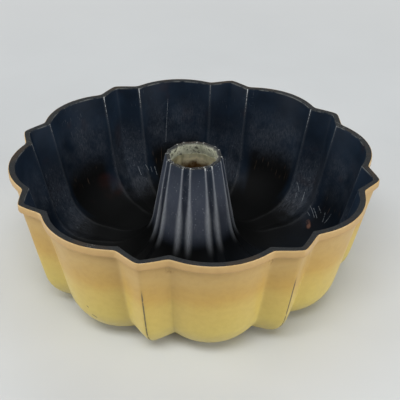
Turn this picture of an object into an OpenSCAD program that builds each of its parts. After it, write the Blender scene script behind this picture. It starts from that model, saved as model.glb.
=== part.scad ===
// Fluted tube pan: an aluminium casting with round lobes and V flutes in turn,
// a nonstick coat inside and an enamel coat outside.
// The Z axis is the pan's own axis, z = 0 is the table, and the pan opens upwards.
// Lobes and V flutes meet in creases, and a flute's height is measured outwards from them.

/* [Overall] */
// Width over two opposite V flutes, at the rim
rim_d = 254; // [210:1:310]
// Height from the table to the top of the rim
pan_h = 89; // [74:0.5:110]
// How far the top of the tube lies below the rim
tube_drop = 0.5; // [0.5:0.5:20]
// Number of lobes, with as many V flutes between them
flutes = 8; // [6:1:12]

/* [Casting] */
// Thickness of the wall, the floor and the tube
wall_t = 2.9; // [2:0.1:4.5]
// Lean of the wall, in degrees from upright
wall_draft = 11.6; // [6:0.1:15]
// Lean of the tube, in degrees from upright
tube_draft = 11; // [6:0.1:14]
// Bend from the wall to the floor, at a crease inside
wall_bend_r = 26.5; // [15:0.5:35]
// Bend from the floor to the tube, at a crease inside
tube_bend_r = 34.5; // [20:0.5:42]
// Least level stretch of floor between the two bends
floor_flat_min = 4; // [2:0.5:10]
// Width of the tube over its ridges, at its top
tube_top_d = 40; // [32:0.5:60]
// Depth of the flats ground on the lobes, where the pan stands
foot_grind = 0.3; // [0.2:0.05:0.5]

/* [Rim lip] */
// Height of the band round the outside of the rim
lip_h = 5.2; // [3:0.1:8]
// How far the band stands out from the wall
lip_out = 1.1; // [0.5:0.1:2.5]

/* [V flutes] */
// Width of a V flute between its creases, at the rim
v_w = 31; // [20:0.5:40]
// Width of a V flute's blunt nose, at the rim
v_nose_w = 2; // [1:0.1:5]
// Height of a V flute at the rim
v_rim_h = 8.1; // [5:0.1:12]
// Height of a V flute at the foot of the wall
v_foot_h = 9.3; // [5:0.1:12]
// Height of a V flute on the floor
v_floor_h = 5.2; // [3:0.1:5.4]
// Height of a V flute at the foot of the tube
v_neck_h = 2.1; // [1:0.1:3]
// Height of a V flute at the top of the tube
v_top_h = 1; // [0.5:0.1:2]

/* [Lobes] */
// Height of a lobe at the rim
lobe_rim_h = 7; // [4:0.1:11]
// Height of a lobe at the foot of the wall
lobe_foot_h = 7.5; // [4:0.1:11]
// Height of a lobe on the floor, where the pan stands on it
lobe_floor_h = 5.6; // [5.4:0.1:9]
// Height of a lobe at the foot of the tube
lobe_neck_h = 2.1; // [1:0.1:3]
// Height of a lobe at the top of the tube
lobe_top_h = 1; // [0.5:0.1:2]

/* [Coats] */
// Thickness of the nonstick coat
lining_t = 0.1; // [0.05:0.05:0.3]
// Thickness of the enamel coat
enamel_t = 0.15; // [0.1:0.05:0.3]
// Bare metal left by the enamel at the top of the bore
bore_bare_h = 9; // [4:0.5:20]

/* [Facets] */
// Facets across one lobe
lobe_steps = 7; // [5:2:9]
// Rings along each bend
bend_steps = 6; // [4:1:8]
// Rings along the wall below the lip, and along the enamelled part of the tube
straight_steps = 2; // [1:1:3]

/* [Hidden] */

// What a cut reaches past the piece that it trims
trim = 1;

// Levels of the casting
rim_z = pan_h - lining_t;
tube_z = rim_z - tube_drop;
floor_z = wall_t + lobe_floor_h - foot_grind;

// The plan of the flutes, at the rim inside
crease_r = rim_d / 2 - enamel_t - lip_out - wall_t - v_rim_h;
tube_r = tube_top_d / 2;
turn = 360 / flutes;
v_half_a = asin(v_w / 2 / crease_r);
nose_half_a = asin(v_nose_w / 2 / (crease_r + v_rim_h));
lobe_half_a = turn / 2 - v_half_a;

// A lobe is one arc in plan, through its two creases and its middle
lobe_mid_r = crease_r + lobe_rim_h;
lobe_half_w = crease_r * sin(lobe_half_a);
lobe_sag = lobe_mid_r - crease_r * cos(lobe_half_a);
lobe_arc_r = (lobe_half_w * lobe_half_w + lobe_sag * lobe_sag) / (2 * lobe_sag);
lobe_arc_x = lobe_mid_r - lobe_arc_r;

// Heights at the rim, the foot of the wall, the floor, the foot of the tube and its top
v_heights = [v_rim_h, v_foot_h, v_floor_h, v_neck_h, v_top_h];
lobe_heights = [lobe_rim_h, lobe_foot_h, lobe_floor_h, lobe_neck_h, lobe_top_h];

// The bends shrink together where the floor is too narrow for both
floor_w = crease_r - (rim_z - floor_z) * tan(wall_draft) - tube_r - (tube_z - floor_z) * tan(tube_draft);
bends_w = wall_bend_r * tan((90 - wall_draft) / 2) + tube_bend_r * tan((90 - tube_draft) / 2);
bend_fit = min(1, (floor_w - floor_flat_min) / bends_w);
outer_bend_r = wall_bend_r * bend_fit;
inner_bend_r = tube_bend_r * bend_fit;

// Where the straight wall and tube run into their bends, at a crease
foot_z = floor_z + outer_bend_r * (1 - sin(wall_draft));
foot_r = crease_r - (rim_z - foot_z) * tan(wall_draft);
neck_z = floor_z + inner_bend_r * (1 - sin(tube_draft));
neck_r = tube_r + (tube_z - neck_z) * tan(tube_draft);

// Shares of the straight wall at the lip's lower edge and where its sloped underside meets the wall
lip_start = lip_h / (rim_z - foot_z);
lip_end = (lip_h + lip_out) / (rim_z - foot_z);
// Share of the straight tube at which the enamel ends
enamel_end = 1 - bore_bare_h / (tube_z - neck_z);

function mix(a, b, share) = a + (b - a) * share;

function ease(share) = (1 - cos(180 * share)) / 2;

// Height at a place on the section, which counts up from the rim:
// 0 is the rim, 1 the wall's foot, 2 the floor, 3 the tube's foot and 4 the tube's top
function height_at(heights, place) =
    let (i = max(0, min(floor(place), len(heights) - 2)))
    mix(heights[i], heights[i + 1], ease(place - i));

// Rings of the section at a crease: radius, level, direction that heights are measured in, and place
function wall_ring(share) = [
    mix(crease_r, foot_r, share),
    mix(rim_z, foot_z, share),
    -wall_draft * max(0, (share - lip_end) / (1 - lip_end)),
    share
];

function wall_bend_ring(share) =
    let (a = mix(-wall_draft, -90, share))
    [foot_r + outer_bend_r * (cos(a) - cos(wall_draft)), floor_z + outer_bend_r * (1 + sin(a)), a, 1 + share];

function tube_bend_ring(share) =
    let (a = mix(-90, tube_draft - 180, share))
    [neck_r + inner_bend_r * (cos(a) + cos(tube_draft)), floor_z + inner_bend_r * (1 + sin(a)), a, 2 + share];

function tube_ring(share) = [
    mix(neck_r, tube_r, share),
    mix(neck_z, tube_z, share),
    mix(tube_draft - 180, -180, share),
    3 + share
];

// From the rim down the wall, over the floor and up the tube
// The first two rings are level with the lip's two edges
rings = concat(
    [wall_ring(0), wall_ring(lip_start)],
    [for (i = [0 : straight_steps - 1]) wall_ring(mix(lip_end, 1, i / straight_steps))],
    [for (i = [0 : bend_steps]) wall_bend_ring(i / bend_steps)],
    [for (i = [0 : bend_steps]) tube_bend_ring(i / bend_steps)],
    [for (i = [1 : straight_steps]) tube_ring(enamel_end * i / straight_steps)],
    [tube_ring(1)]
);
rim_ring = rings[0];
top = len(rings) - 1;

// The wall's slope carried on past the rim, for a coat that is then cut level
over_rim_ring = wall_ring(-(lining_t + trim) / (rim_z - foot_z));

function lobe_rise(a) =
    let (r = lobe_arc_x * cos(a) + sqrt(pow(lobe_arc_r, 2) - pow(lobe_arc_x * sin(a), 2)))
    (r - crease_r) / lobe_rim_h;

// Columns round the pan: angle, share of the V height, share of the lobe height,
// and whether the column lies past the middle of its flute
columns = [
    for (k = [0 : flutes - 1]) each concat(
        [[k * turn - v_half_a, 0, 0, false]],
        [for (side = [-1, 1]) [k * turn + side * nose_half_a, 1, 0, side > 0]],
        [[k * turn + v_half_a, 0, 0, false]],
        [for (i = [1 : lobe_steps - 1])
            let (a = mix(-lobe_half_a, lobe_half_a, i / lobe_steps))
            [(k + 0.5) * turn + a, 0, lobe_rise(a), a > 0]]
    )
];

// A point of a column on a ring, moved outwards through the wall and lifted
function on_pan(column, ring, out, lift = 0) =
    let (
        h = column[1] * height_at(v_heights, ring[3]) + column[2] * height_at(lobe_heights, ring[3]) + out,
        r = ring[0] + h * cos(ring[2])
    )
    [r * cos(column[0]), r * sin(column[0]), ring[1] + h * sin(ring[2]) + lift];

// Lines of points down a column, from the rim to the top of the tube or, outside, to a ring in the bore
function inside(column) = [for (ring = rings) on_pan(column, ring, 0)];

function outside(column, last, out) = concat(
    [for (drop = [0, lip_h]) on_pan(column, rim_ring, wall_t + lip_out + out, -drop)],
    [for (i = [2 : last]) on_pan(column, rings[i], wall_t + out)]
);

// The nonstick coat covers the inside, the flat of the rim and the flat of the tube's top
function under_lining(column) = concat(
    [on_pan(column, rim_ring, wall_t + lip_out)],
    inside(column),
    [on_pan(column, rings[top], wall_t)]
);

function over_lining(column) = concat(
    [on_pan(column, rim_ring, wall_t + lip_out, lining_t + trim)],
    [on_pan(column, over_rim_ring, -lining_t)],
    [for (i = [1 : top - 1]) on_pan(column, rings[i], -lining_t)],
    [for (out = [-lining_t, wall_t]) on_pan(column, rings[top], out, lining_t)]
);

// A quad between two neighbouring columns as two triangles, split along one diagonal or the other
function split(a, b, c, d, other) = other ? [[a, b, d], [b, c, d]] : [[a, b, c], [a, c, d]];

function flipped(faces) = [for (f = faces) [f[2], f[1], f[0]]];

// A closed shell between two skins, one line of points per column, the inner skin nearer to the cake
module shell_between(inner, outer) {
    size = len(inner[0]);
    end = size - 1;
    count = len(columns);
    skin = size * count;
    polyhedron(
        points = concat([for (line = inner) each line], [for (line = outer) each line]),
        faces = [
            for (j = [0 : count - 1])
                let (here = j * size, next = (j + 1) % count * size, other = columns[j][3])
                each concat(
                    [for (i = [0 : end - 1])
                        each split(here + i, next + i, next + i + 1, here + i + 1, other)],
                    [for (i = [skin : skin + end - 1])
                        each flipped(split(here + i, next + i, next + i + 1, here + i + 1, other))],
                    split(here, here + skin, next + skin, next, other),
                    flipped(split(here + end, here + skin + end, next + skin + end, next + end, other))
                )
        ]
    );
}

// Everything between two levels, to cut a shell flat
module slab(low, high) {
    translate([-rim_d, -rim_d, low])
        cube([2 * rim_d, 2 * rim_d, high - low]);
}

module cast_body() {
    color("#8F918D")
        difference() {
            shell_between([for (c = columns) inside(c)], [for (c = columns) outside(c, top, 0)]);
            slab(-pan_h, 0);
        }
}

module nonstick_lining() {
    color("#1B1F26")
        difference() {
            shell_between([for (c = columns) over_lining(c)], [for (c = columns) under_lining(c)]);
            slab(pan_h, 2 * pan_h);
        }
}

module exterior_enamel() {
    color("#C2A25F")
        difference() {
            shell_between(
                [for (c = columns) outside(c, top - 1, 0)],
                [for (c = columns) outside(c, top - 1, enamel_t)]
            );
            slab(-pan_h, 0);
        }
}

cast_body();
nonstick_lining();
exterior_enamel();
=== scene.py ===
"""Looks of a fluted tube cake pan: a casting, its black nonstick lining and its gold enamel.

Sizes are in millimetres until a mesh is made. The Z axis is the pan's own axis and z = 0 is the table.
A place on the section counts up from the rim: 0 is the rim, 1 the wall's foot, 2 the floor,
3 the tube's foot and 4 the tube's top. Lobes and V flutes meet in creases.
"""
import math
from collections import namedtuple
from functools import cached_property

import bpy
import numpy as np
from mathutils import Matrix, Vector


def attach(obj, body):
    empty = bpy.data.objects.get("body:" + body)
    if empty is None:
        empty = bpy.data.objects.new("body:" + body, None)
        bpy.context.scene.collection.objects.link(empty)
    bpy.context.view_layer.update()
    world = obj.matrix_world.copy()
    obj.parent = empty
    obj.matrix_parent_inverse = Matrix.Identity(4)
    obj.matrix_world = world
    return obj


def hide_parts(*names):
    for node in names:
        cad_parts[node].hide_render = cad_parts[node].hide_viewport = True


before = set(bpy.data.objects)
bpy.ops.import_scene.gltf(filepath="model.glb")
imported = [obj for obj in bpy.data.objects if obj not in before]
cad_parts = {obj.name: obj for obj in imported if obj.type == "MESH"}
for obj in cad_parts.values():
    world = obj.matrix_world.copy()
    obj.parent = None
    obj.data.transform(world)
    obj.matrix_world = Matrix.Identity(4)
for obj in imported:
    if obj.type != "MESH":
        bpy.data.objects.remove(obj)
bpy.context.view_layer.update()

MM = 0.001

# The pan's sizes, as in its solids
RIM_D = 254.0
PAN_H = 89.0
TUBE_DROP = 0.5
FLUTES = 8
WALL_T = 2.9
WALL_DRAFT = math.radians(11.6)
TUBE_DRAFT = math.radians(11.0)
WALL_BEND_R = 26.5
TUBE_BEND_R = 34.5
TUBE_R = 20.0
FOOT_GRIND = 0.3
LIP_H = 5.2
LIP_OUT = 1.1
V_W = 31.0
V_NOSE_W = 2.0
V_HEIGHTS = (8.1, 9.3, 5.2, 2.1, 1.0)
LOBE_HEIGHTS = (7.0, 7.5, 5.6, 2.1, 1.0)
LINING_T = 0.1
ENAMEL_T = 0.15
BORE_BARE_H = 9.0

# Rounding of the cast edges at each place, inside and outside
CREASE_IN = (0.7, 0.9, 1.3, 0.9, 0.25)
CREASE_OUT = (2.0, 1.0, 0.8, 1.0, 0.6)
NOSE_IN = (0.5, 0.5, 0.9, 1.3, 1.4)
NOSE_OUT = (0.8, 0.8, 1.0, 1.3, 1.4)
LIP_TOP_R = 0.6
LIP_FOOT_R = 0.7
LIP_UNDER_A = math.radians(65)
TUBE_TOP_R = 0.35
BORE_TOP_R = 0.5

# How far a hidden skin keeps from the coat over it
CLEAR = 0.02
# Height of the casting's waviness
WAVE_H = 0.07

# Derived levels and radii
RIM_Z = PAN_H - LINING_T
TUBE_Z = RIM_Z - TUBE_DROP
FLOOR_Z = WALL_T + LOBE_HEIGHTS[2] - FOOT_GRIND
CREASE_R = RIM_D / 2 - ENAMEL_T - LIP_OUT - WALL_T - V_HEIGHTS[0]
TURN = 2 * math.pi / FLUTES
V_HALF_A = math.asin(V_W / 2 / CREASE_R)
NOSE_HALF_A = math.asin(V_NOSE_W / 2 / (CREASE_R + V_HEIGHTS[0]))
LOBE_HALF_A = TURN / 2 - V_HALF_A
LOBE_MID_R = CREASE_R + LOBE_HEIGHTS[0]
LOBE_HALF_W = CREASE_R * math.sin(LOBE_HALF_A)
LOBE_SAG = LOBE_MID_R - CREASE_R * math.cos(LOBE_HALF_A)
LOBE_ARC_R = (LOBE_HALF_W**2 + LOBE_SAG**2) / (2 * LOBE_SAG)
LOBE_ARC_X = LOBE_MID_R - LOBE_ARC_R
FOOT_Z = FLOOR_Z + WALL_BEND_R * (1 - math.sin(WALL_DRAFT))
FOOT_R = CREASE_R - (RIM_Z - FOOT_Z) * math.tan(WALL_DRAFT)
NECK_Z = FLOOR_Z + TUBE_BEND_R * (1 - math.sin(TUBE_DRAFT))
NECK_R = TUBE_R + (TUBE_Z - NECK_Z) * math.tan(TUBE_DRAFT)
WALL_LENGTH = RIM_Z - FOOT_Z
TUBE_LENGTH = TUBE_Z - NECK_Z
LIP_END = (LIP_H + LIP_OUT) / WALL_LENGTH

# Angles of the columns of points from the middle of a V flute to the middle of a lobe, in degrees
HALF_COLUMNS = (
    0, 0.3, 0.65, 1.1, 1.7, 2.6, 3.7, 4.9, 5.9, 6.5, 7.0, 7.35, 7.6, 7.76, 7.95, 8.2, 8.6, 9.2, 10.1,
    11.3, 12.7, 14.2, 15.8, 17.4, 19.1, 20.8, 22.5,
)

# Shares of the wall's height that get a line of points, inside and outside
INSIDE_SHARES = (0.012, 0.025, 0.05, 0.09, 0.14, 0.2, 0.27, 0.34, 0.42, 0.5, 0.58, 0.66, 0.74, 0.82, 0.91)
OUTSIDE_SHARES = (0.117, 0.13, 0.15, 0.18, 0.22, 0.27, 0.34, 0.42, 0.5, 0.58, 0.66, 0.74, 0.82, 0.91)
# Steps between the lines of points on the two bends, on the tube's two sides and on the bare band
WALL_BEND_STEPS = 14
TUBE_BEND_STEPS = 15
TUBE_STEPS_IN = 13
TUBE_STEPS_OUT = 10
BARE_STEPS = 6
# Share of the tube's height where the enamel in the bore ends
BARE_END = 1 - BORE_BARE_H / TUBE_LENGTH
# First and last lines of points on the tube, as shares of its height: inside, outside and on the bare band
TUBE_IN_ENDS = (0.07, 0.98)
TUBE_OUT_ENDS = (0.08, BARE_END)
BARE_ENDS = (0.97, BARE_END + 0.012)
# Lines of points on the rim's band: drops down its face, and reaches in along its underside
LIP_FACE_DROPS = (1.6, 3.0)
LIP_UNDER_REACHES = (0.7, 1.35)
# Where that underside turns into the wall: how far in, how far down, and which way the enamel grows
LIP_TURN_IN = 1.17
LIP_TURN_DOWN = 0.98
LIP_TURN_GROW = (0.85, 0.53)
# Waves of the casting: how many go round, how they turn along the section, where they start, and size
WAVES = ((3, 2.3, 0.7, 1.0), (7, -3.1, 2.0, 0.7), (13, 5.3, 0.0, 0.5))
# Radius at which the skin is unrolled
SKIN_R = 100
# A coat's skin counts as flat where it grows upwards by more than this share
FLAT_SHARE = 0.5
SHARP_ANGLE = math.radians(42)

# Wear of the lining, and soil with painted shade on the enamel, at the two creases beside each V flute,
# counted from the +X axis, and wear of each V flute's nose
LINING_WEAR = (0.3, 0.35, 0.35, 0.6, 1.0, 0.3, 1.0, 0.9, 0.35, 0.3, 0.5, 0.3, 0.5, 0.35, 0.6, 0.45)
ENAMEL_SOIL_AND_SHADE = (0.3, 0.5, 0.2, 0.6, 0.4, 0.1, 0.5, 0.3, 0.2, 0.6, 0.1, 0.2, 0.3, 0.9, 1.0, 0.3)
NOSE_WEAR = (0.45, 0.7, 0.3, 0.8, 0.5, 0.1, 1.0, 1.0)
# The same for the casting's creases, which the coats hide
EVEN_WEAR = (0.5,) * (2 * FLUTES)

# Marks on the unrolled lining: start, end and width
SCRATCHES = (
    ((89.4, 65.0), (86.0, 71.0), 0.3),
    ((82.6, 70.0), (81.0, 76.0), 0.28),
    ((61.7, 73.0), (55.1, 76.5), 0.3),
    ((46.9, 75.0), (46.5, 67.5), 0.25),
    ((67.0, 72.0), (57.0, 77.5), 0.25),
    ((228.3, 69.5), (227.5, 76.0), 0.32),
    ((214.8, 72.0), (213.9, 78.0), 0.28),
    ((222.9, 69.0), (221.0, 74.0), 0.35),
    ((200.6, 18.0), (203.6, 54.0), 0.16),
    ((218.4, 71.5), (218.0, 75.5), 0.25),
    ((52.0, 70.0), (49.0, 75.5), 0.25),
    ((87.0, 73.0), (86.0, 76.0), 0.25),
    ((59.5, 69.5), (55.0, 72.0), 0.22),
    ((64.0, 78.0), (60.5, 79.0), 0.22),
)
RUST_SPOT = ((58.2, 82.6), (53.8, 84.6), 1.9)
RUST_STAIN = ((259.0, 73.0), (254.0, 79.0), 9.0)
# The way to the part of the lining least blackened, by baking and by painted shade
SPARED_SIDE = (0.87, -0.5, 0.0)
# Chips in the unrolled enamel
ENAMEL_CHIPS = (
    ((435.4, 66.2), (437.4, 67.7), 0.75),
    ((433.2, 59.4), (433.9, 60.1), 0.6),
)
# Pits in the bare metal of the bore: how far round it, in height, and width
BORE_R = 16.5
BORE_PITS = (
    ((27.9, 84.2), (28.6, 84.6), 1.5),
    ((47.7, 83.4), (48.2, 84.3), 1.1),
    ((18.4, 85.0), (18.7, 85.6), 0.8),
)

# Colours of the enamel by height, as a share of the pan's; the darker stop at 0.937, just under the rim's
# band, is painted shade under the lip
ENAMEL_TONES_AND_LIP_SHADE = (
    (0.0, "B6A450"), (0.3, "C0AB56"), (0.52, "C1A654"), (0.63, "BA9648"), (0.72, "B6934C"),
    (0.84, "B79759"), (0.925, "B59356"), (0.937, "A77E3C"), (0.95, "B18F5A"), (1.0, "B79863"),
)
ENAMEL_MOTTLE = "E2DACA"
BORE_PALE = "E2D9B8"
BORE_DULL = "B4A87F"
BORE_THIN = "A3A48C"
BORE_BROWN = "4E3314"
FILM_BROWN = "9A7632"
SOIL_AND_SHADE_BROWN = "7C5528"
CHIP_GREY = "4A4436"
GROUND_DARK = "77746A"
GROUND_PALE = "A5A298"

# Colours of the lining
LINING_DARK = "101822"
LINING_PALE = "182330"
BAKED_AND_SHADE_BLACK = "060605"
BURNT_BROWN = "5E4E42"
HAZE_AND_SHEEN_GREY = "4A4F57"
TUBE_DARK = "31353E"
TUBE_PALE = "4F5460"
TUBE_MOTTLE = "656A72"
TUBE_RIDGE_HIGHLIGHT = "A8ACB1"
FLAT_LIT_DARK = "1D1F21"
FLAT_LIT_PALE = "2C2E2F"
FLAT_BROWN = "3C3227"
RUBBED_AND_HIGHLIGHT_GREY = "A4A59E"
TIP_GREY = "C6C8C4"
FINE_GREY = "9A9EA4"
SCRATCH_GREY = "9AA0A6"
STAIN_BROWN = "2E1C18"
SMUDGE_BROWN = "42201A"
RUST_BROWN = "755345"
BARE_RIDGE = "C4C7C7"

# Colours of the bare casting
CAST_DARK = "B8BCA6"
CAST_PALE = "E4E4D2"
CAST_STAIN = "6F7355"
CAST_STREAK = "5C6350"
CAST_PIT = "34352B"
OVERSPRAY_BLACK = "2A2C2B"

# The table, in metres, and the backdrop that it fades into
FLOOR_DARK = "C9CCCD"
FLOOR_PALE = "CDD0D1"
FLOOR_REACH = 6.0
FADE_START = 0.25
FADE_END = 0.85
BACKDROP = "D2D4D4"

# Light from all round, and the lamps: name, place, width and height in metres, and watts
DIM_COLOUR = (0.9, 0.95, 1.0, 1)
DIM_STRENGTH = 0.1
LAMPS = (
    ("back", (0.0, 1.5, 2.2), (2.4, 1.4), 16),
    ("left", (-2.4, -1.0, 0.62), (2.0, 0.9), 47),
    ("right", (2.4, -0.5, 0.62), (2.0, 0.9), 43),
    ("front", (0.05, -1.35, 2.4), (2.0, 0.8), 50),
)
LAMP_AIM = (0, 0, PAN_H / 2 * MM)

# The photograph's camera
LENS = 68.49
SENSOR = 36.0
AIM = (18.11, -54.47, 88.9)
DISTANCE = 479.17
AZIMUTH = math.radians(13.667)
ELEVATION = math.radians(33.365)
ROLL = math.radians(0.849)

Ring = namedtuple("Ring", "radius level angle place")
# A line of points round the pan: its ring, the distance out through the wall, the drop below the ring,
# which way a coat grows (out and down), and the share of the outside's rounding
Station = namedtuple("Station", "ring out drop grow_out grow_down side")


def mix(a, b, share):
    return a + (b - a) * share


def at_place(values, place):
    """A value between those of the two nearest places, eased."""
    i = min(int(place), len(values) - 2)
    return mix(values[i], values[i + 1], (1 - math.cos(math.pi * (place - i))) / 2)


def wall_ring(share):
    lean = max(0, (share - LIP_END) / (1 - LIP_END))
    return Ring(mix(CREASE_R, FOOT_R, share), mix(RIM_Z, FOOT_Z, share), -WALL_DRAFT * lean, share)


def wall_bend_ring(share):
    a = mix(-WALL_DRAFT, -math.pi / 2, share)
    radius = FOOT_R + WALL_BEND_R * (math.cos(a) - math.cos(WALL_DRAFT))
    return Ring(radius, FLOOR_Z + WALL_BEND_R * (1 + math.sin(a)), a, 1 + share)


def tube_bend_ring(share):
    a = mix(-math.pi / 2, TUBE_DRAFT - math.pi, share)
    radius = NECK_R + TUBE_BEND_R * (math.cos(a) + math.cos(TUBE_DRAFT))
    return Ring(radius, FLOOR_Z + TUBE_BEND_R * (1 + math.sin(a)), a, 2 + share)


def tube_ring(share):
    a = mix(TUBE_DRAFT - math.pi, -math.pi, share)
    return Ring(mix(NECK_R, TUBE_R, share), mix(NECK_Z, TUBE_Z, share), a, 3 + share)


RIM_RING = wall_ring(0)
TOP_RING = tube_ring(1)


def steps(first, last, count):
    return [mix(first, last, i / count) for i in range(count + 1)]


def section_rings(wall_shares, tube_shares):
    """Rings down the wall, over the floor and up the tube."""
    rings = [wall_ring(s) for s in wall_shares]
    rings += [wall_bend_ring(s) for s in steps(0, 1, WALL_BEND_STEPS)]
    middle = wall_bend_ring(1)
    rings.append(middle._replace(radius=mix(middle.radius, tube_bend_ring(0).radius, 0.5)))
    rings += [tube_bend_ring(s) for s in steps(0, 1, TUBE_BEND_STEPS)]
    return rings + [tube_ring(s) for s in tube_shares]


def lip_top_station(degrees):
    """A line of points on the rounded top edge of the rim's band."""
    t = math.radians(degrees)
    out = WALL_T + LIP_OUT - LIP_TOP_R * (1 - math.sin(t))
    return Station(RIM_RING, out, LIP_TOP_R * (1 - math.cos(t)), math.sin(t), -math.cos(t), 1)


def land_stations():
    """The flat of the rim, from its rounded outer edge to its inner edge."""
    edge = WALL_T + LIP_OUT - LIP_TOP_R
    found = [lip_top_station(degrees) for degrees in (25, 12)]
    # Across the flat, the outside's rounding gives way to the inside's
    for out, side in ((edge, 1), (edge - 1.0, 0.75), (edge - 2.0, 0.4), (0.6, 0.1), (0.25, 0)):
        found.append(Station(RIM_RING, out, 0, 0, -1, side))
    # The inner edge is slightly rounded
    found.append(Station(RIM_RING, 0.07, 0.06, -0.6, -0.8, 0))
    found.append(Station(RIM_RING, 0, 0.25, -1, 0, 0))
    return found


def inside_stations():
    rings = section_rings(INSIDE_SHARES, steps(*TUBE_IN_ENDS, TUBE_STEPS_IN))
    return [Station(r, 0, 0, -1, 0, 0) for r in rings]


def tube_top_stations():
    """The tube's top, from its outer edge to the edge of its bore, as far as the lining goes."""
    found = []
    for degrees in (75, 45, 15):
        t = math.radians(degrees)
        out = TUBE_TOP_R * (1 - math.sin(t))
        drop = TUBE_TOP_R * (1 - math.cos(t))
        found.append(Station(TOP_RING, out, drop, -math.sin(t), -math.cos(t), 0))
    for out in (TUBE_TOP_R + 0.2, 1.4, WALL_T - BORE_TOP_R):
        found.append(Station(TOP_RING, out, 0, 0, -1, 0))
    return found


def bare_stations():
    """The edge of the bore and the bare metal below it."""
    found = []
    for degrees in (25, 55, 85):
        t = math.radians(degrees)
        out = WALL_T - BORE_TOP_R * (1 - math.sin(t))
        found.append(Station(TOP_RING, out, BORE_TOP_R * (1 - math.cos(t)), 0, 0, 1))
    for share in steps(*BARE_ENDS, BARE_STEPS):
        found.append(Station(tube_ring(share), WALL_T, 0, 0, 0, 1))
    return found


def lip_stations():
    """The band round the outside of the rim, from its rounded top edge to the wall under it."""
    face = WALL_T + LIP_OUT
    foot = LIP_H - LIP_FOOT_R
    found = [lip_top_station(degrees) for degrees in (25, 45, 67, 90)]
    for drop in (*LIP_FACE_DROPS, foot):
        found.append(Station(RIM_RING, face, drop, 1, 0, 1))
    for share in (0.33, 0.67, 1):
        a = LIP_UNDER_A * share
        out = face - LIP_FOOT_R * (1 - math.cos(a))
        drop = foot + LIP_FOOT_R * math.sin(a)
        found.append(Station(RIM_RING, out, drop, math.cos(a), math.sin(a), 1))
    last = found[-1]
    for reach in LIP_UNDER_REACHES:
        out = last.out - reach * math.sin(LIP_UNDER_A)
        drop = last.drop + reach * math.cos(LIP_UNDER_A)
        found.append(last._replace(out=out, drop=drop))
    drop = last.drop + LIP_TURN_DOWN
    found.append(Station(RIM_RING, WALL_T - LIP_TURN_IN, drop, *LIP_TURN_GROW, 1))
    return found


def outside_stations():
    rings = section_rings(OUTSIDE_SHARES, steps(*TUBE_OUT_ENDS, TUBE_STEPS_OUT))
    return [Station(r, WALL_T, 0, 1, 0, 1) for r in rings]


def column_angles():
    """Angles of all the columns, and the turn of each from the middle of its V flute."""
    half = [math.radians(a) for a in HALF_COLUMNS]
    half[-1] = TURN / 2
    one_turn = [-a for a in half[-2:0:-1]] + half
    angles = np.concatenate([np.array(one_turn) + k * TURN for k in range(FLUTES)])
    return angles, np.tile(one_turn, FLUTES)


ANGLES, TURNS = column_angles()


def lobe_rises():
    """Shares of a lobe's height at the columns, carried on below zero past its creases."""
    a = np.abs(TURNS) - TURN / 2
    radius = LOBE_ARC_X * np.cos(a) + np.sqrt(LOBE_ARC_R**2 - (LOBE_ARC_X * np.sin(a)) ** 2)
    return (radius - CREASE_R) / LOBE_HEIGHTS[0]


LOBE_RISES = lobe_rises()


def flute_heights(place, side):
    """Heights round the pan at a place on the section, with creases and noses rounded."""
    crease = mix(at_place(CREASE_IN, place), at_place(CREASE_OUT, place), side)
    nose = math.radians(mix(at_place(NOSE_IN, place), at_place(NOSE_OUT, place), side))
    v_share = (V_HALF_A - np.sqrt(TURNS**2 + nose**2)) / (V_HALF_A - NOSE_HALF_A)
    v = v_share * at_place(V_HEIGHTS, place)
    lobe = LOBE_RISES * at_place(LOBE_HEIGHTS, place)
    return 0.5 * (v + lobe + np.sqrt((v - lobe) ** 2 + crease**2))


def waviness(place):
    """The slight unevenness of a casting, mostly inwards, that grows from nothing at the rim."""
    waves = sum(size * np.sin(count * ANGLES + twist * place + start) for count, twist, start, size in WAVES)
    return WAVE_H * min(1, 4 * place) * (waves - 1) / 2


def line_of_points(station, coat, lowest):
    ring = station.ring
    reach = flute_heights(ring.place, station.side) + waviness(ring.place)
    reach += station.out + coat * station.grow_out
    radius = ring.radius + reach * math.cos(ring.angle)
    level = ring.level + reach * math.sin(ring.angle) - station.drop - coat * station.grow_down
    level = np.maximum(level, lowest)
    return np.stack([radius * np.cos(ANGLES), radius * np.sin(ANGLES), level], 1)


def lengths_along(stations):
    """How far each station lies from the first, along the section at a crease."""
    found = [0.0]
    spots = []
    for s in stations:
        radius = s.ring.radius + s.out * math.cos(s.ring.angle)
        level = s.ring.level + s.out * math.sin(s.ring.angle) - s.drop
        spots.append((radius, level))
    for a, b in zip(spots, spots[1:]):
        found.append(found[-1] + math.dist(a, b))
    return found


def add_values(mesh, name, values):
    layer = mesh.attributes.new(name, "FLOAT", "POINT")
    layer.data.foreach_set("value", values.astype(np.float32).ravel())


def ring_quads(i, j, rows, columns):
    """Faces that join each ring of points to the next, and the last to the first."""
    down = (i + 1) % rows
    along = (j + 1) % columns
    corners = (i * columns + j, i * columns + along, down * columns + along, down * columns + j)
    return np.stack(corners, -1).reshape(-1, 4)[:, ::-1]


def add_places(mesh, points, stations, crease_wear_soil_and_shade):
    """Where each point lies on the pan, and how much wear, soil and painted shade it has there."""
    rows, columns = points.shape[:2]
    radius = np.hypot(points[..., 0], points[..., 1])
    add_values(mesh, "place", np.repeat([s.ring.place for s in stations], columns))
    add_values(mesh, "crease", (np.abs(TURNS) - V_HALF_A) * radius)
    add_values(mesh, "nose", np.abs(TURNS) * radius)
    add_values(mesh, "flat", np.repeat([float(s.grow_down < -FLAT_SHARE) for s in stations], columns))
    flute = np.repeat(np.arange(FLUTES), len(TURNS) // FLUTES)
    crease_of = 2 * flute + (TURNS > 0)
    add_values(mesh, "crease_wear_soil_and_shade", np.tile(np.array(crease_wear_soil_and_shade)[crease_of], rows))
    add_values(mesh, "nose_wear", np.tile(np.array(NOSE_WEAR)[flute], rows))


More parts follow.
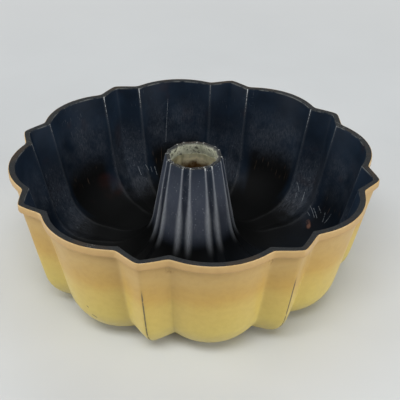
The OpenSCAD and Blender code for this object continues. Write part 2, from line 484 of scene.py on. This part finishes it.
def add_skin(mesh, i, j, lengths):
    """Where each corner lies on the unrolled skin: round the pan, and along the section."""
    rows, columns = i.shape
    across = np.append(ANGLES, ANGLES[0] + 2 * math.pi) * SKIN_R
    length = np.array(lengths)
    spots = np.zeros((rows, columns, 4, 3), np.float32)
    for corner, (di, dj) in enumerate(((1, 0), (1, 1), (0, 1), (0, 0))):
        spots[:, :, corner, 0] = across[j + dj]
        spots[:, :, corner, 1] = length[(i + di) % rows]
    layer = mesh.attributes.new("skin", "FLOAT_VECTOR", "CORNER")
    layer.data.foreach_set("vector", spots.ravel())


def closed_shell(name, lines, stations, lengths, crease_wear_soil_and_shade):
    """A mesh of rings of points, each joined to the next and the last to the first."""
    points = np.stack(lines)
    rows, columns = points.shape[:2]
    i, j = np.meshgrid(np.arange(rows), np.arange(columns), indexing="ij")
    quads = ring_quads(i, j, rows, columns)
    mesh = bpy.data.meshes.new(name)
    mesh.from_pydata((points.reshape(-1, 3) * MM).tolist(), [], quads.tolist())
    add_places(mesh, points, stations, crease_wear_soil_and_shade)
    add_skin(mesh, i, j, lengths)
    mesh.polygons.foreach_set("use_smooth", np.ones(len(mesh.polygons), bool))
    mesh.set_sharp_from_angle(angle=SHARP_ANGLE)
    mesh.update()
    piece = bpy.data.objects.new(name, mesh)
    bpy.context.scene.collection.objects.link(piece)
    return piece


def coat_piece(name, stations, thickness, crease_wear_soil_and_shade):
    """A coat as a closed shell: its outer skin and, turned back, its underside."""
    over = [line_of_points(s, thickness, 0) for s in stations]
    under = [line_of_points(s, 0, CLEAR) for s in stations]
    lengths = lengths_along(stations)
    lines = over + under[::-1]
    return closed_shell(name, lines, stations + stations[::-1], lengths + lengths[::-1], crease_wear_soil_and_shade)


def casting_piece(name, lined, bare, enamelled):
    """The casting as a closed shell, a little inside its coats."""
    stations = lined + bare + enamelled[::-1]
    lines = [line_of_points(s, -CLEAR, 2 * CLEAR) for s in stations]
    return closed_shell(name, lines, stations, lengths_along(stations), EVEN_WEAR)


def colour(code):
    """A colour written as six hex digits, in linear light."""
    parts = [int(code[i:i + 2], 16) / 255 for i in (0, 2, 4)]
    return [p / 12.92 if p <= 0.04045 else ((p + 0.055) / 1.055) ** 2.4 for p in parts] + [1.0]


class Paint:
    """A material whose nodes are added one call at a time."""

    def __init__(self, name):
        self.material = bpy.data.materials.new(name)
        self.material.use_nodes = True
        self.tree = self.material.node_tree
        self.shader = next(n for n in self.tree.nodes if n.type == "BSDF_PRINCIPLED")

    def feed(self, socket, value):
        if isinstance(value, bpy.types.NodeSocket):
            self.tree.links.new(value, socket)
        else:
            socket.default_value = value

    def node(self, kind, settings=(), **inputs):
        made = self.tree.nodes.new("ShaderNode" + kind)
        for key, value in dict(settings).items():
            setattr(made, key, value)
        for key, value in inputs.items():
            self.feed(made.inputs[key], value)
        return made

    def set(self, name, value):
        self.feed(self.shader.inputs[name], value)

    def value_of(self, name):
        return self.node("Attribute", {"attribute_name": name}).outputs["Fac"]

    def vector_of(self, name):
        return self.node("Attribute", {"attribute_name": name}).outputs["Vector"]

    @cached_property
    def spot(self):
        """The point itself, in metres."""
        return self.node("TexCoord").outputs["Object"]

    @cached_property
    def skin(self):
        """The point on the unrolled skin."""
        return self.vector_of("skin")

    @cached_property
    def place(self):
        return self.value_of("place")

    @cached_property
    def side(self):
        """How far the point lies from a crease, in millimetres, below zero on a V flute."""
        return self.value_of("crease")

    @cached_property
    def crease(self):
        return self.math("ABSOLUTE", self.side)

    @cached_property
    def flat(self):
        return self.value_of("flat")

    @cached_property
    def not_flat(self):
        return self.without(self.flat)

    def axis(self, vector, name):
        return self.node("SeparateXYZ", Vector=vector).outputs[name]

    def along(self, vector, direction):
        """How far a point lies along a direction."""
        made = self.node("VectorMath", {"operation": "DOT_PRODUCT"})
        self.feed(made.inputs[0], vector)
        made.inputs[1].default_value = direction
        return made.outputs["Value"]

    def math(self, operation, a, b=0.0):
        made = self.node("Math", {"operation": operation})
        self.feed(made.inputs[0], a)
        self.feed(made.inputs[1], b)
        return made.outputs[0]

    def scaled(self, value, factor, offset):
        """A value times a factor, plus an offset."""
        made = self.node("Math", {"operation": "MULTIPLY_ADD"})
        self.feed(made.inputs[0], value)
        made.inputs[1].default_value = factor
        made.inputs[2].default_value = offset
        return made.outputs[0]

    def times(self, *factors):
        product = factors[0]
        for factor in factors[1:]:
            product = self.math("MULTIPLY", product, factor)
        return product

    def without(self, mask):
        return self.math("SUBTRACT", 1.0, mask)

    def most(self, *masks):
        largest = masks[0]
        for mask in masks[1:]:
            largest = self.math("MAXIMUM", largest, mask)
        return largest

    def step(self, value, low, high):
        """0 below low and 1 above high, or the other way round if high is the lower one."""
        made = self.node("MapRange", {"interpolation_type": "SMOOTHSTEP"})
        self.feed(made.inputs["Value"], value)
        made.inputs["From Min"].default_value = low
        made.inputs["From Max"].default_value = high
        return made.outputs["Result"]

    def band(self, value, low, high, soft):
        rise = self.step(value, low - soft, low + soft)
        return self.times(rise, self.step(value, high + soft, high - soft))

    def stretch(self, vector, x, y, z=1.0):
        made = self.node("VectorMath", {"operation": "MULTIPLY"})
        self.feed(made.inputs[0], vector)
        made.inputs[1].default_value = (x, y, z)
        return made.outputs[0]

    def noise(self, vector, scale, detail=3.0, rough=0.55):
        made = self.node("TexNoise", Vector=vector, Scale=scale, Detail=detail, Roughness=rough)
        return made.outputs["Fac"]

    def cells(self, vector, scale):
        """How far a point lies from the middle of a cell, in cells."""
        return self.node("TexVoronoi", Vector=vector, Scale=scale).outputs["Distance"]

    def blend(self, share, a, b, mode="MIX"):
        made = self.node("Mix", {"data_type": "RGBA", "blend_type": mode, "clamp_factor": True})
        self.feed(made.inputs[0], share)
        self.feed(made.inputs[6], a)
        self.feed(made.inputs[7], b)
        return made.outputs[2]

    def tones(self, share, code_a, code_b):
        return self.blend(share, colour(code_a), colour(code_b))

    def over(self, base, code, *masks):
        """A colour laid over another, as far as all the masks together allow."""
        return self.blend(self.times(*masks), base, colour(code))

    def fade(self, value, stops):
        """A colour that changes with a value: stops are pairs of a value and a colour code."""
        made = self.node("ValToRGB", Fac=value)
        ramp = made.color_ramp
        while len(ramp.elements) < len(stops):
            ramp.elements.new(0.5)
        for element, (spot, code) in zip(ramp.elements, stops):
            element.position = spot
            element.color = colour(code)
        return made.outputs["Color"]

    def stroke(self, skin, start, end, width):
        """A thin straight mark between two spots on the unrolled skin."""
        (x0, y0), (x1, y1) = start, end
        run = Vector((x1 - x0, y1 - y0, 0))
        offset = self.node("VectorMath", {"operation": "SUBTRACT"})
        self.feed(offset.inputs[0], skin)
        offset.inputs[1].default_value = (x0, y0, 0)
        run_share = self.along(offset.outputs[0], run / run.length_squared)
        share = self.node("Clamp", Value=run_share).outputs[0]
        along = self.node("VectorMath", {"operation": "SCALE"})
        along.inputs[0].default_value = run
        self.feed(along.inputs["Scale"], share)
        away = self.node("VectorMath", {"operation": "DISTANCE"})
        self.feed(away.inputs[0], offset.outputs[0])
        self.feed(away.inputs[1], along.outputs[0])
        return self.step(away.outputs["Value"], width, 0.3 * width)

    def strokes(self, skin, marks):
        return self.most(*(self.stroke(skin, *mark) for mark in marks))

    def bump(self, height, distance, strength):
        made = self.node("Bump", Height=height, Distance=distance, Strength=strength)
        return made.outputs["Normal"]


def enamel_base(p, level):
    """Gold that browns towards the rim, in clouds and with a fine mottle, with a line of painted shade just
    under the lip.
    """
    drift = p.scaled(p.noise(p.spot, 26), factor=0.22, offset=-0.11)
    drifted = p.math("ADD", level, p.times(drift, p.step(level, 0.92, 0.8)))
    # The darker stop just under the lip is painted shade
    base = p.fade(drifted, ENAMEL_TONES_AND_LIP_SHADE)
    mottle = p.step(p.noise(p.spot, 260, 5.0), 0.3, 0.8)
    mottled = p.blend(1.0, base, colour(ENAMEL_MOTTLE), "MULTIPLY")
    return p.blend(p.times(mottle, 0.3), base, mottled)


def enamel_bore(p):
    """Enamel in the bore: paler at its top and darker brown further down."""
    patchy = p.noise(p.spot, 85, 5.0, 0.6)
    bore = p.tones(p.step(patchy, 0.4, 0.65), BORE_PALE, BORE_DULL)
    thin_noise = p.times(p.noise(p.spot, 130, 5.0, 0.65), 0.5)
    thin = p.step(p.math("ADD", p.place, thin_noise), 3.95, 4.08)
    bore = p.over(bore, BORE_THIN, thin, 0.65)
    bore_lower_dark = p.step(p.math("ADD", p.place, p.times(patchy, 0.5)), 3.98, 3.8)
    return p.over(bore, BORE_BROWN, bore_lower_dark)


def enamel_film(p):
    """Baked-on film under the pan."""
    under = p.times(p.step(p.place, 1.45, 1.95), p.step(p.place, 3.3, 2.8))
    return p.times(under, p.step(p.noise(p.spot, 45, 5.0, 0.6), 0.36, 0.66))


def enamel_soil_and_shade(p):
    """Soil and painted shade in the creases under the lip."""
    soil_and_shade_noise = p.noise(p.stretch(p.skin, 0.5, 0.16), 1.1, 4.0, 0.6)
    soiled_and_shaded = p.step(p.value_of("crease_wear_soil_and_shade"), 0.45, 0.8)
    under_lip = p.band(p.axis(p.skin, "Y"), 6.0, 13.0, 2.5)
    return p.times(p.step(p.crease, 3.2, 0.4), under_lip, p.step(soil_and_shade_noise, 0.45, 0.62), soiled_and_shaded)


def enamel_chips(p):
    """Chips and wear through to the metal along the V noses, and specks low on the wall."""
    ragged = p.noise(p.stretch(p.skin, 0.5, 0.12), 2.2, 4.0, 0.65)
    reach = p.times(p.step(p.place, 0.36, 0.5), p.step(p.place, 1.75, 1.5))
    worn = p.step(p.value_of("nose_wear"), 0.2, 0.6)
    worn_nose = p.times(p.step(p.value_of("nose"), 0.62, 0.3), reach, p.step(ragged, 0.36, 0.46), worn)
    speck_area = p.times(p.band(p.place, 1.15, 1.75, 0.15), p.step(p.noise(p.spot, 30, 2.0), 0.56, 0.7))
    specks = p.times(p.step(p.noise(p.spot, 620, 2.0), 0.755, 0.79), speck_area)
    return p.most(worn_nose, specks, p.strokes(p.skin, ENAMEL_CHIPS))


def gold_enamel():
    """Satin enamel, browner towards the rim with a line of painted shade under the lip, chipped along the V
    flutes, and darkened in the creases under the lip by soil and painted shade.
    """
    p = Paint("gold_enamel")
    height = p.axis(p.spot, "Z")
    base = enamel_base(p, p.math("MULTIPLY", height, 1 / (PAN_H * MM)))
    base = p.blend(p.step(p.place, 3.0, 3.35), base, enamel_bore(p))
    film = enamel_film(p)
    base = p.over(base, FILM_BROWN, film, 0.6)
    soil_and_shade = enamel_soil_and_shade(p)
    # Brown in the creases just under the lip: soil, and painted shade where the lip overhangs the concave
    # creases
    base = p.over(base, SOIL_AND_SHADE_BROWN, soil_and_shade, 0.7)
    chips = enamel_chips(p)
    base = p.over(base, CHIP_GREY, chips, 0.9)
    # The flats that the pan stands on are ground to the metal
    ground = p.step(height, 0.00035, 0.00006)
    ground_lines = p.noise(p.stretch(p.spot, 1.0, 0.06), 1900, 2.0, 0.6)
    metal = p.tones(p.step(ground_lines, 0.35, 0.7), GROUND_DARK, GROUND_PALE)
    p.set("Base Color", p.blend(ground, base, metal))
    satin = p.scaled(p.noise(p.spot, 90), factor=0.14, offset=0.3)
    marred = p.most(chips, soil_and_shade, p.times(film, 0.6))
    p.set("Roughness", p.math("ADD", satin, p.times(marred, 0.25)))
    p.set("Metallic", p.times(ground, 0.8))
    peel = p.math("ADD", p.noise(p.spot, 700, 2.0), p.times(p.without(chips), 2.0))
    p.set("Normal", p.bump(peel, distance=0.00004, strength=0.6))
    return p.material


def lining_baked_and_shade(p, clouds):
    """Black and dull on the floor, low on the lobes and at the tube's foot: baked-on black where the cake
    bakes longest, and painted shade deep in the pan.
    """
    lobe_depth = p.math("ADD", p.place, p.times(clouds, 0.5))
    low_lobe = p.times(p.step(p.side, 3.5, 11.0), p.step(lobe_depth, 0.92, 1.22))
    low_floor = p.step(p.math("ADD", p.place, clouds), 1.7, 2.2)
    spared = p.step(p.along(p.spot, SPARED_SIDE), 0.02, 0.085)
    below_tube = p.step(p.place, 3.15, 2.8)
    return p.times(p.most(low_lobe, low_floor), below_tube, p.without(p.times(spared, 0.7)))


def lining_burnt(p):
    """Burnt-on streaks low on the lobes."""
    streaks = p.step(p.noise(p.stretch(p.skin, 1.0, 0.09), 0.85, 1.0, 0.5), 0.62, 0.72)
    return p.times(streaks, p.step(p.side, 4.0, 10.0), p.band(p.place, 0.93, 1.12, 0.07))


def lining_haze_and_sheen(p):
    """Scuffed haze and a painted sheen low on the V flutes and halfway down the lobes, and where it has
    specks.
    """
    scuffs = p.noise(p.stretch(p.skin, 1.0, 0.25), 1.1, 6.0, 0.75)
    scuffed = p.times(p.step(p.noise(p.spot, 45, 4.0, 0.7), 0.3, 0.6), p.step(scuffs, 0.28, 0.72))
    on_flute = p.times(p.band(p.place, 0.68, 1.65, 0.38), p.step(p.side, 5.0, -3.0))
    on_lobe = p.times(p.band(p.place, 0.35, 0.85, 0.22), p.step(p.side, 0.0, 8.0), 0.7)
    haze_and_sheen = p.times(scuffed, p.most(on_flute, on_lobe))
    speck_area = p.times(scuffed, p.most(on_flute, p.times(on_lobe, 0.35)), 0.8)
    return haze_and_sheen, speck_area


def lining_tube(p, base, on_tube):
    """The tube is greyer, darker at the bottom of its narrow V channels as painted shade, with painted
    highlights along its ridges.
    """
    # Darker at the bottom of the narrow V channels: painted shade
    tone = p.tones(p.step(p.side, -2.5, 1.0), TUBE_DARK, TUBE_PALE)
    mottle = p.step(p.noise(p.stretch(p.spot, 1.0, 1.0, 0.45), 190, 6.0, 0.75), 0.46, 0.72)
    tone = p.over(tone, TUBE_MOTTLE, mottle, 0.45)
    base = p.blend(p.times(on_tube, p.step(p.place, 4.3, 3.3), 0.92), base, tone)
    highlight_streaks = p.step(p.noise(p.stretch(p.skin, 1.0, 0.2), 1.3, 5.0, 0.7), 0.12, 0.68)
    # The painted highlights on the ridges are narrower and fainter towards the tube's top
    narrower = p.math("ADD", 1.0, p.times(p.step(p.place, 3.2, 4.0), 2.6))
    ridge_highlight = p.times(p.step(p.place, 2.7, 3.2), p.step(p.times(p.crease, narrower), 3.6, 0.0))
    fainter = p.without(p.times(p.step(p.place, 3.2, 3.8), 0.45))
    return p.over(base, TUBE_RIDGE_HIGHLIGHT, ridge_highlight, highlight_streaks, fainter)


def lining_flats(p, base):
    """The flats of the rim and of the tube's top, painted a lighter grey than the rest of the lining for the
    light that falls on them from above, with what is rubbed bare beside them; the pale line along the rim's
    inner edge is painted highlight as well as rubbing.
    """
    # Lighter grey on the flats than on the walls: painted light on the top faces
    tone = p.tones(p.step(p.noise(p.spot, 900), 0.35, 0.7), FLAT_LIT_DARK, FLAT_LIT_PALE)
    brown = p.step(p.noise(p.spot, 38), 0.52, 0.66)
    tone = p.over(tone, FLAT_BROWN, brown, 0.6)
    base = p.blend(p.flat, base, tone)
    rubbed_area = p.most(p.step(p.noise(p.spot, 60), 0.58, 0.68), p.step(p.place, 3.5, 3.9))
    rubbed = p.times(p.flat, rubbed_area, p.step(p.noise(p.spot, 1500, 2.0), 0.6, 0.68))
    edge_noise = p.step(p.noise(p.spot, 90, 4.0, 0.7), 0.4, 0.6)
    # A pale line along the rim's inner edge: painted highlight, and rubbing
    inner_edge_highlight = p.times(p.step(p.place, 0.02, 0.004), p.not_flat, edge_noise)
    base = p.over(base, RUBBED_AND_HIGHLIGHT_GREY, p.most(p.times(rubbed, 0.7), p.times(inner_edge_highlight, 0.3)))
    tip_noise = p.step(p.noise(p.spot, 520, 2.0), 0.44, 0.6)
    tips = p.times(p.step(p.place, 3.95, 3.99), p.step(p.crease, 0.75, 0.15), tip_noise)
    return p.over(base, TIP_GREY, tips, 0.8)


def lining_scratches(p, baked_and_shade):
    """Fine scratches up and down the wall, and finer ones across it."""
    fine = p.step(p.noise(p.stretch(p.skin, 1.0, 0.035), 2.6, 2.0, 0.6), 0.66, 0.72)
    cross = p.step(p.noise(p.stretch(p.skin, 0.05, 0.9), 2.1, 2.0, 0.6), 0.69, 0.74)
    patches = p.step(p.noise(p.spot, 22, 2.0), 0.5, 0.64)
    return p.times(p.most(fine, p.times(cross, 0.6)), patches, p.not_flat, p.without(baked_and_shade))


def lining_specks(p, speck_area, on_tube):
    """Pale specks in the haze and on the tube."""
    tube_area = p.times(on_tube, p.step(p.noise(p.spot, 60, 2.0), 0.36, 0.52))
    dots = p.times(p.step(p.cells(p.spot, 600), 0.27, 0.11), p.most(speck_area, tube_area))
    return p.times(dots, p.step(p.noise(p.spot, 260, 1.0), 0.45, 0.62), p.not_flat)


def lining_rust(p, base):
    """Rust-brown stains and one spot of rust."""
    stain = p.times(p.step(p.noise(p.spot, 48, 2.0), 0.6, 0.75), p.step(p.place, 1.9, 1.4))
    base = p.over(base, STAIN_BROWN, stain, 0.2)
    smudge = p.times(p.stroke(p.skin, *RUST_STAIN), p.step(p.noise(p.spot, 55, 2.0), 0.2, 0.75))
    base = p.over(base, SMUDGE_BROWN, smudge, 0.3)
    rust = p.times(p.stroke(p.skin, *RUST_SPOT), p.step(p.noise(p.spot, 170, 4.0, 0.6), 0.28, 0.55))
    return p.over(base, RUST_BROWN, rust, 0.85)


def lining_bare_ridges(p):
    """Ridges along the creases rubbed through at the rim, and a faint line further down."""
    ragged = p.noise(p.stretch(p.skin, 0.9, 0.5), 2.2, 4.0, 0.75)
    runs = p.step(p.noise(p.stretch(p.skin, 0.1, 0.6), 1.3, 3.0, 0.7), 0.36, 0.6)
    near_rim = p.step(p.place, 0.5, 0.0)
    width = p.math("ADD", ragged, p.times(near_rim, 0.25))
    through = p.step(p.math("SUBTRACT", width, p.crease), 0.42, 0.6)
    # The bare line comes in runs, and is unbroken next to the rim
    unbroken = p.most(runs, p.step(p.place, 0.12, 0.02))
    through = p.times(through, unbroken, p.value_of("crease_wear_soil_and_shade"), near_rim, p.not_flat)
    line = p.times(p.step(p.crease, 1.8, 0.2), p.step(p.place, 2.4, 1.7), p.step(ragged, 0.3, 0.65))
    return p.most(through, p.times(line, p.not_flat, 0.035))


def nonstick_black():
    """Satin black coat, rubbed to grey on its ridges, with scratches, baked-on black with painted shade deep
    in the pan, a painted sheen, painted highlights on the tube's ridges and the rim's inner edge, painted
    light on its flats, and a little rust.
    """
    p = Paint("nonstick_black")
    clouds = p.noise(p.spot, 34, 4.0, 0.6)
    base = p.tones(p.step(clouds, 0.3, 0.75), LINING_DARK, LINING_PALE)
    baked_and_shade = lining_baked_and_shade(p, clouds)
    # Black low in the pan: baked-on black, and painted shade on the floor and at the tube's foot
    base = p.over(base, BAKED_AND_SHADE_BLACK, baked_and_shade, 0.96)
    base = p.over(base, BURNT_BROWN, lining_burnt(p), 0.5)
    haze_and_sheen, speck_area = lining_haze_and_sheen(p)
    # Paler blue-grey low on the flutes and halfway down the lobes: scuffing, and a painted sheen
    base = p.over(base, HAZE_AND_SHEEN_GREY, haze_and_sheen, 0.85)
    on_tube = p.step(p.place, 2.84, 3.16)
    base = lining_tube(p, base, on_tube)
    base = lining_flats(p, base)
    scratch = lining_scratches(p, baked_and_shade)
    specks = lining_specks(p, speck_area, on_tube)
    base = p.over(base, FINE_GREY, p.most(p.times(scratch, 0.38), p.times(specks, 0.75)))
    marks = p.times(p.strokes(p.skin, SCRATCHES), p.step(p.noise(p.skin, 0.9, 2.0), 0.3, 0.55))
    base = p.over(base, SCRATCH_GREY, marks, 0.62)
    base = lining_rust(p, base)
    through = lining_bare_ridges(p)
    p.set("Base Color", p.over(base, BARE_RIDGE, through))
    satin = p.scaled(clouds, factor=0.08, offset=0.38)
    marred = p.most(scratch, through, p.times(p.flat, 0.35), p.times(haze_and_sheen, 0.4), p.times(baked_and_shade, 1.4))
    p.set("Roughness", p.math("ADD", satin, p.times(marred, 0.2)))
    p.set("Metallic", p.times(through, 0.3))
    p.set("Specular IOR Level", 0.08)
    grain = p.math("SUBTRACT", p.noise(p.spot, 1100, 2.0), p.times(p.most(scratch, marks), 1.5))
    p.set("Normal", p.bump(grain, distance=0.00003, strength=0.7))
    return p.material


def casting_pits(p):
    """Small pits all over, and three larger ones at the top of the bore."""
    small = p.most(p.step(p.cells(p.spot, 520), 0.24, 0.12), p.step(p.noise(p.spot, 330), 0.61, 0.7))
    around = p.times(p.axis(p.skin, "X"), BORE_R / SKIN_R)
    height = p.math("DIVIDE", p.axis(p.spot, "Z"), MM)
    bore_skin = p.node("CombineXYZ", X=around, Y=height).outputs[0]
    return p.most(small, p.step(p.noise(p.spot, 170), 0.64, 0.7), p.strokes(bore_skin, BORE_PITS))


def cast_aluminium():
    """Dull, aged casting with dark pits, and a black overspray round the tube's top."""
    p = Paint("cast_aluminium")
    tone = p.tones(p.step(p.noise(p.spot, 130, 5.0, 0.65), 0.35, 0.68), CAST_DARK, CAST_PALE)
    tone = p.over(tone, CAST_STAIN, p.step(p.noise(p.spot, 75, 4.0), 0.5, 0.7), 0.5)
    streaks = p.step(p.noise(p.stretch(p.skin, 1.0, 0.2), 0.7, 5.0, 0.7), 0.48, 0.68)
    tone = p.over(tone, CAST_STREAK, streaks, 0.55)
    pits = casting_pits(p)
    tone = p.over(tone, CAST_PIT, pits, 0.8)
    ragged = p.times(p.noise(p.spot, 420, 3.0, 0.65), 0.0016)
    ragged_height = p.math("ADD", p.axis(p.spot, "Z"), ragged)
    overspray = p.step(ragged_height, (TUBE_Z - 0.5) * MM, (TUBE_Z + 0.5) * MM)
    p.set("Base Color", p.over(tone, OVERSPRAY_BLACK, overspray, 0.85))
    p.set("Metallic", 0.35)
    dull = p.scaled(p.noise(p.spot, 240), factor=0.25, offset=0.42)
    p.set("Roughness", p.math("ADD", dull, p.times(pits, 0.15)))
    grain = p.math("SUBTRACT", p.noise(p.spot, 800), pits)
    p.set("Normal", p.bump(grain, distance=0.00008, strength=0.7))
    return p.material


def seen_share(tree):
    """1 for a ray that the camera sends out, or that gloss or glass throws back, and 0 for light."""
    path = tree.nodes.new("ShaderNodeLightPath")
    total = path.outputs["Is Camera Ray"]
    for name in ("Is Glossy Ray", "Is Transmission Ray"):
        largest = tree.nodes.new("ShaderNodeMath")
        largest.operation = "MAXIMUM"
        tree.links.new(total, largest.inputs[0])
        tree.links.new(path.outputs[name], largest.inputs[1])
        total = largest.outputs[0]
    return total


def pale_floor():
    """A pale table that fades into the backdrop away from the pan, as the camera sees it."""
    p = Paint("pale_floor")
    p.set("Base Color", p.tones(p.step(p.noise(p.spot, 6), 0.3, 0.7), FLOOR_DARK, FLOOR_PALE))
    p.set("Roughness", 0.62)
    away = p.node("VectorMath", {"operation": "LENGTH"})
    p.feed(away.inputs[0], p.spot)
    share = p.times(p.step(away.outputs["Value"], FADE_START, FADE_END), seen_share(p.tree))
    glow = p.node("Emission", Color=colour(BACKDROP))
    joined = p.node("MixShader", Fac=share)
    p.feed(joined.inputs[1], p.shader.outputs[0])
    p.feed(joined.inputs[2], glow.outputs[0])
    p.tree.links.new(joined.outputs[0], p.tree.nodes["Material Output"].inputs["Surface"])
    return p.material


def add_floor():
    r = FLOOR_REACH
    mesh = bpy.data.meshes.new("floor")
    mesh.from_pydata([(-r, -r, 0), (r, -r, 0), (r, r, 0), (-r, r, 0)], [], [(0, 1, 2, 3)])
    mesh.materials.append(pale_floor())
    floor = bpy.data.objects.new("floor", mesh)
    bpy.context.scene.collection.objects.link(floor)


def add_lamp(name, place, size, power):
    data = bpy.data.lights.new(name, "AREA")
    data.shape = "RECTANGLE"
    data.size, data.size_y = size
    data.energy = power
    lamp = bpy.data.objects.new(name, data)
    lamp.location = place
    way = Vector(LAMP_AIM) - Vector(place)
    lamp.rotation_euler = way.to_track_quat("-Z", "Y").to_euler()
    bpy.context.scene.collection.objects.link(lamp)


def add_backdrop():
    """Dim light from all round; the camera sees a pale backdrop in its place."""
    world = bpy.data.worlds.new("studio")
    world.use_nodes = True
    tree = world.node_tree
    dim = tree.nodes["Background"]
    dim.inputs["Color"].default_value = DIM_COLOUR
    dim.inputs["Strength"].default_value = DIM_STRENGTH
    pale = tree.nodes.new("ShaderNodeBackground")
    pale.inputs["Color"].default_value = colour(BACKDROP)
    joined = tree.nodes.new("ShaderNodeMixShader")
    tree.links.new(seen_share(tree), joined.inputs["Fac"])
    tree.links.new(dim.outputs[0], joined.inputs[1])
    tree.links.new(pale.outputs[0], joined.inputs[2])
    tree.links.new(joined.outputs[0], tree.nodes["World Output"].inputs["Surface"])
    bpy.context.scene.world = world


def add_light():
    for lamp in LAMPS:
        add_lamp(*lamp)


def add_camera():
    data = bpy.data.cameras.new("camera")
    data.lens = LENS
    data.sensor_width = SENSOR
    camera = bpy.data.objects.new("camera", data)
    flat = math.cos(ELEVATION)
    back = Vector((math.sin(AZIMUTH) * flat, -math.cos(AZIMUTH) * flat, math.sin(ELEVATION)))
    right = Vector((math.cos(AZIMUTH), math.sin(AZIMUTH), 0))
    up = back.cross(right)
    x = right * math.cos(ROLL) + up * math.sin(ROLL)
    y = up * math.cos(ROLL) - right * math.sin(ROLL)
    spot = (Vector(AIM) + back * DISTANCE) * MM
    camera.matrix_world = Matrix([[x[i], y[i], back[i], spot[i]] for i in range(3)] + [[0, 0, 0, 1]])
    bpy.context.scene.collection.objects.link(camera)
    bpy.context.scene.camera = camera


def add_pan():
    lined = land_stations() + inside_stations() + tube_top_stations()
    enamelled = lip_stations() + outside_stations()
    casting = casting_piece("pan_casting", lined, bare_stations(), enamelled)
    lining = coat_piece("pan_lining", lined, LINING_T, LINING_WEAR)
    enamel = coat_piece("pan_enamel", enamelled, ENAMEL_T, ENAMEL_SOIL_AND_SHADE)
    pieces = (
        (casting, "cast_body", "cast_aluminium", cast_aluminium()),
        (lining, "nonstick_lining", "nonstick_black", nonstick_black()),
        (enamel, "exterior_enamel", "gold_enamel", gold_enamel()),
    )
    for piece, node, slot, material in pieces:
        piece.data.materials.append(material)
        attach(piece, "root")
        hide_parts(node)


bpy.context.scene.view_settings.view_transform = "Standard"
add_pan()
add_floor()
add_backdrop()
add_light()
add_camera()
